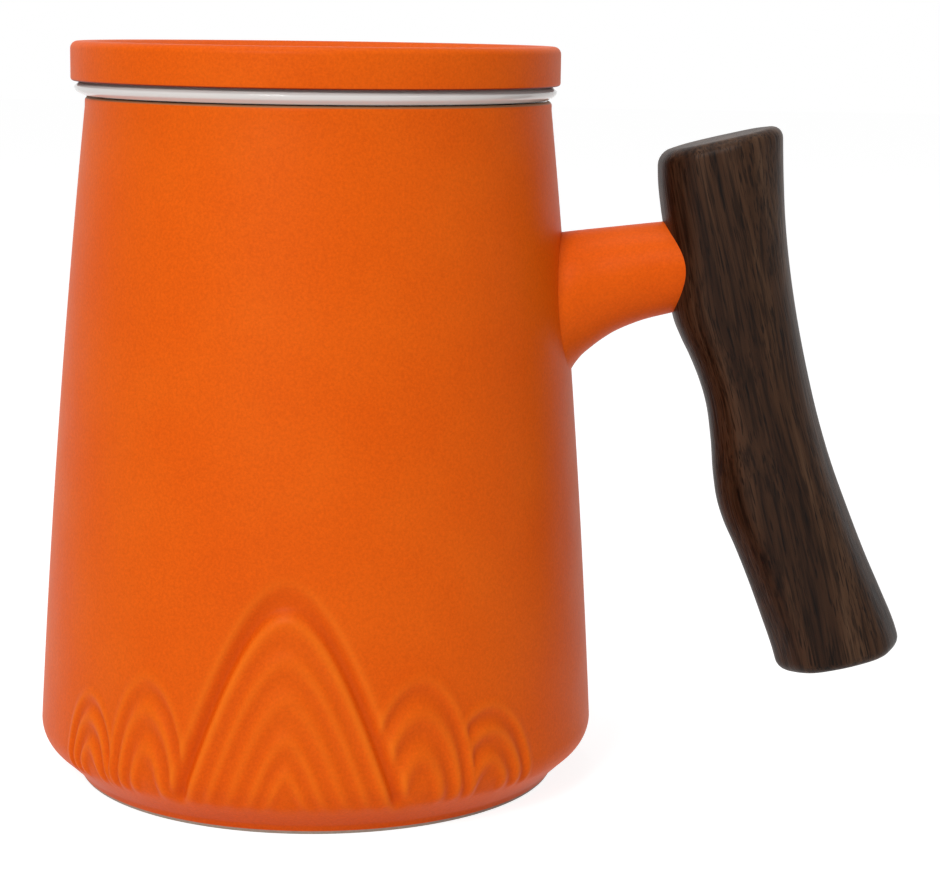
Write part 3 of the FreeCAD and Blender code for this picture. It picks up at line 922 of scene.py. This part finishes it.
def push_aside(piece):
    """Strainer and lid lie loose, a little off the mug's middle, within their clearance."""
    piece.data.transform(Matrix.Translation((LOOSE_SHIFT * MM, 0, 0)))
    return piece


def ring_angles():
    """Even angles round the strainer and the lid."""
    return np.linspace(0, 2 * np.pi, ROUND_COLUMNS, endpoint=False)


def make_infuser():
    """The porcelain strainer, with drilled holes and a flange bevelled at its top edge."""
    base_inner = CUP_BASE_RADIUS - CUP_WALL
    top_inner = CUP_TOP_RADIUS - CUP_WALL
    path = soften(
        [
            (0, CUP_BOTTOM, 0),
            (CUP_BASE_RADIUS, CUP_BOTTOM, CUP_ROUND),
            (CUP_TOP_RADIUS, FLANGE_BOTTOM, 0.9),
            (FLANGE_RADIUS - FLANGE_BEVEL, FLANGE_BOTTOM, FLANGE_ROUND),
            (FLANGE_RADIUS - FLANGE_LEAN, FLANGE_BOTTOM + FLANGE_LEAN_HEIGHT, FLANGE_ROUND),
            (FLANGE_RADIUS, FLANGE_TOP - FLANGE_SHOULDER, 0.3),
            (FLANGE_RADIUS - FLANGE_BEVEL, FLANGE_TOP, 0.6),
            (top_inner, FLANGE_TOP, FLANGE_ROUND),
            (base_inner, CUP_BOTTOM + CUP_WALL, CUP_ROUND - 1.0),
            (0, CUP_BOTTOM + CUP_WALL, 0),
        ],
        0.3,
    )
    path = divide(path, LONGEST_STRETCH)
    cup = revolve("strainer", path, ring_angles(), [white_glaze])
    join_solids(cup, [make_drills()], "DIFFERENCE")
    return push_aside(cup)


# Holes in the floor as (radius of the ring, how many), then rows of holes up the side
HOLE_SIDES = 24
FLOOR_RINGS = ((0.0, 1), (8.5, 6), (17.0, 12))
SIDE_ROWS = 3
SIDE_HOLES = 16
SIDE_FIRST = 12.0
SIDE_PITCH = 9.0


def make_drills():
    """One mesh of all the drills that pierce the strainer."""
    drills = bmesh.new()
    for radius, count in FLOOR_RINGS:
        for index in range(count):
            angle = 2 * math.pi * index / count
            height = CUP_BOTTOM + CUP_WALL / 2
            place = Vector((radius * math.cos(angle), radius * math.sin(angle), height))
            add_drill(drills, place, Matrix.Identity(4), 3 * CUP_WALL)
    for row in range(SIDE_ROWS):
        height = CUP_BOTTOM + SIDE_FIRST + row * SIDE_PITCH
        for index in range(SIDE_HOLES):
            angle = 2 * math.pi * index / SIDE_HOLES
            radius = CUP_BASE_RADIUS
            place = Vector((radius * math.cos(angle), radius * math.sin(angle), height))
            turn = Matrix.Rotation(angle, 4, "Z") @ Matrix.Rotation(math.pi / 2, 4, "Y")
            add_drill(drills, place, turn, 5 * CUP_WALL)
    mesh = bpy.data.meshes.new("drills")
    drills.to_mesh(mesh)
    drills.free()
    mesh.materials.append(white_glaze)
    tool = bpy.data.objects.new("drills", mesh)
    bpy.context.scene.collection.objects.link(tool)
    return tool


def add_drill(drills, place, turn, length):
    """Add one drill, centred at a place in millimetres."""
    matrix = Matrix.Translation(place * MM) @ turn
    bmesh.ops.create_cone(
        drills,
        cap_ends=True,
        segments=HOLE_SIDES,
        radius1=HOLE_RADIUS * MM,
        radius2=HOLE_RADIUS * MM,
        depth=length * MM,
        matrix=matrix,
    )


def make_lid():
    """The lid: a thick disc with a soft raised rim, a shallow dish and a centring ring below."""
    ring_outer = CUP_TOP_RADIUS - CUP_WALL - LID_RING_CLEARANCE
    ring_inner = ring_outer - LID_RING_WIDTH
    ring_bottom = LID_BOTTOM - LID_RING_DEPTH
    path = soften(
        [
            (0, LID_BOTTOM, 0),
            (ring_inner, LID_BOTTOM, LID_RING_ROUND),
            (ring_inner, ring_bottom, LID_RING_ROUND),
            (ring_outer, ring_bottom, LID_RING_ROUND),
            (ring_outer, LID_BOTTOM, 0.6),
            (LID_RADIUS - LID_SKIRT_WIDTH - 0.5, LID_BOTTOM, 0.2),
            (LID_RADIUS - LID_SKIRT_WIDTH, LID_BOTTOM - LID_SKIRT, 0.3),
            (LID_RADIUS, LID_BOTTOM - LID_SKIRT, 0.5),
            (LID_RADIUS, LID_TOP, LID_ROUND),
            (LID_RADIUS - RIM_WIDTH, LID_TOP, 1.5),
            (LID_RADIUS - DISH_EDGE, LID_TOP - DISH_DEPTH, 3.0),
            (0, LID_TOP - DISH_DEPTH, 0),
        ],
        0.25,
    )

    def material_of(start, stop):
        """Bare clay on the face of the ring, glaze elsewhere."""
        return 1 if max(start[1], stop[1]) < ring_bottom + 0.5 else 0

    materials = [lid_glaze, bisque]
    path = divide(path, LONGEST_STRETCH)
    return push_aside(revolve("lid_disc", path, ring_angles(), materials, material_of))


mug = make_mug()
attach(mug, "mug")
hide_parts("mug_body")

grip = make_grip()
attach(grip, "mug")
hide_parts("handle")

strainer = make_infuser()
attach(strainer, "infuser")
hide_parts("infuser")

lid = make_lid()
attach(lid, "lid")
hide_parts("lid")

for node, material in (("handle_dowel", beech), ("handle_adhesive", epoxy)):
    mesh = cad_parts[node].data
    mesh.materials.clear()
    mesh.materials.append(material)


# Floor, light and camera

ROOM_LIGHT = 0.33
FLOOR_GLOW = 0.6
FLOOR_GLOW_STRENGTH = 1.45
FLOOR_SIZE = 6.0

# Lamps as (name, place, target, width in metres, power in watts)
LAMPS = (
    ("key", (-0.25, -0.83, 0.62), (0.0, 0.0, 0.06), 0.28, 5.25),
    ("fill", (0.70, -0.50, 0.50), (0.0, 0.0, 0.06), 0.16, 0.4),
    ("top", (-0.10, -0.05, 0.95), (0.02, 0.0, 0.1), 0.40, 2.4),
)


def seen_directly(tree):
    """1 for the rays that show the background: camera, mirror and glass rays."""
    rays = tree.nodes.new("ShaderNodeLightPath")
    total = rays.outputs["Is Camera Ray"]
    for kind in ("Is Glossy Ray", "Is Transmission Ray"):
        larger = tree.nodes.new("ShaderNodeMath")
        larger.operation = "MAXIMUM"
        tree.links.new(total, larger.inputs[0])
        tree.links.new(rays.outputs[kind], larger.inputs[1])
        total = larger.outputs["Value"]
    return total


def make_floor():
    """A pale floor that keeps the object's shadow and looks white to the camera."""
    bpy.ops.mesh.primitive_plane_add(size=FLOOR_SIZE, location=(0, 0, 0))
    floor = bpy.context.object
    floor.name = "floor"
    material, shader = new_material("floor")
    shader.inputs["Base Color"].default_value = (0.9, 0.9, 0.9, 1)
    shader.inputs["Roughness"].default_value = 1.0
    shader.inputs["Specular IOR Level"].default_value = 0.0
    tree = material.node_tree
    glow = tree.nodes.new("ShaderNodeEmission")
    glow.inputs["Strength"].default_value = FLOOR_GLOW_STRENGTH
    blend = tree.nodes.new("ShaderNodeMixShader")
    share = tree.nodes.new("ShaderNodeMath")
    share.operation = "MULTIPLY"
    share.inputs[1].default_value = FLOOR_GLOW
    tree.links.new(seen_directly(tree), share.inputs[0])
    tree.links.new(share.outputs["Value"], blend.inputs["Fac"])
    tree.links.new(shader.outputs["BSDF"], blend.inputs[1])
    tree.links.new(glow.outputs["Emission"], blend.inputs[2])
    tree.links.new(blend.outputs["Shader"], tree.nodes["Material Output"].inputs["Surface"])
    floor.data.materials.append(material)


def make_world():
    """A dim white room that looks white where it is seen directly."""
    world = bpy.data.worlds.new("studio")
    bpy.context.scene.world = world
    world.use_nodes = True
    tree = world.node_tree
    room = tree.nodes["Background"]
    room.inputs["Color"].default_value = (1, 1, 1, 1)
    room.inputs["Strength"].default_value = ROOM_LIGHT
    white = tree.nodes.new("ShaderNodeBackground")
    white.inputs["Color"].default_value = (1, 1, 1, 1)
    white.inputs["Strength"].default_value = 1.0
    mix = tree.nodes.new("ShaderNodeMixShader")
    tree.links.new(seen_directly(tree), mix.inputs["Fac"])
    tree.links.new(room.outputs["Background"], mix.inputs[1])
    tree.links.new(white.outputs["Background"], mix.inputs[2])
    tree.links.new(mix.outputs["Shader"], tree.nodes["World Output"].inputs["Surface"])


def add_softbox(name, place, target, width, power):
    """A square lamp at a place, aimed at a target."""
    light = bpy.data.lights.new(name, "AREA")
    light.shape = "SQUARE"
    light.size = width
    light.energy = power
    lamp = bpy.data.objects.new(name, light)
    bpy.context.scene.collection.objects.link(lamp)
    lamp.location = place
    aim = Vector(target) - Vector(place)
    lamp.rotation_euler = aim.to_track_quat("-Z", "Y").to_euler()


def make_camera():
    """The camera that took the photograph, as fitted."""
    data = bpy.data.cameras.new("camera")
    data.sensor_fit = "HORIZONTAL"
    data.sensor_width = SENSOR_WIDTH
    data.lens = FOCAL_PIXELS / IMAGE_WIDTH * SENSOR_WIDTH
    camera = bpy.data.objects.new("camera", data)
    bpy.context.scene.collection.objects.link(camera)
    place = Vector(
        (
            CAMERA_DISTANCE * math.sin(CAMERA_AZIMUTH),
            -CAMERA_DISTANCE * math.cos(CAMERA_AZIMUTH),
            CAMERA_HEIGHT,
        )
    )
    forward = Vector(
        (
            math.sin(CAMERA_YAW) * math.cos(CAMERA_PITCH),
            math.cos(CAMERA_YAW) * math.cos(CAMERA_PITCH),
            -math.sin(CAMERA_PITCH),
        )
    )
    right = Vector((math.cos(CAMERA_YAW), -math.sin(CAMERA_YAW), 0))
    up = right.cross(forward)
    rolled_right = right * math.cos(CAMERA_ROLL) + up * math.sin(CAMERA_ROLL)
    rolled_up = up * math.cos(CAMERA_ROLL) - right * math.sin(CAMERA_ROLL)
    matrix = Matrix((rolled_right, rolled_up, -forward)).transposed().to_4x4()
    matrix.translation = place * MM
    camera.matrix_world = matrix
    bpy.context.scene.camera = camera


make_floor()
make_world()
for lamp_values in LAMPS:
    add_softbox(*lamp_values)
make_camera()
bpy.context.scene.view_settings.view_transform = "Standard"
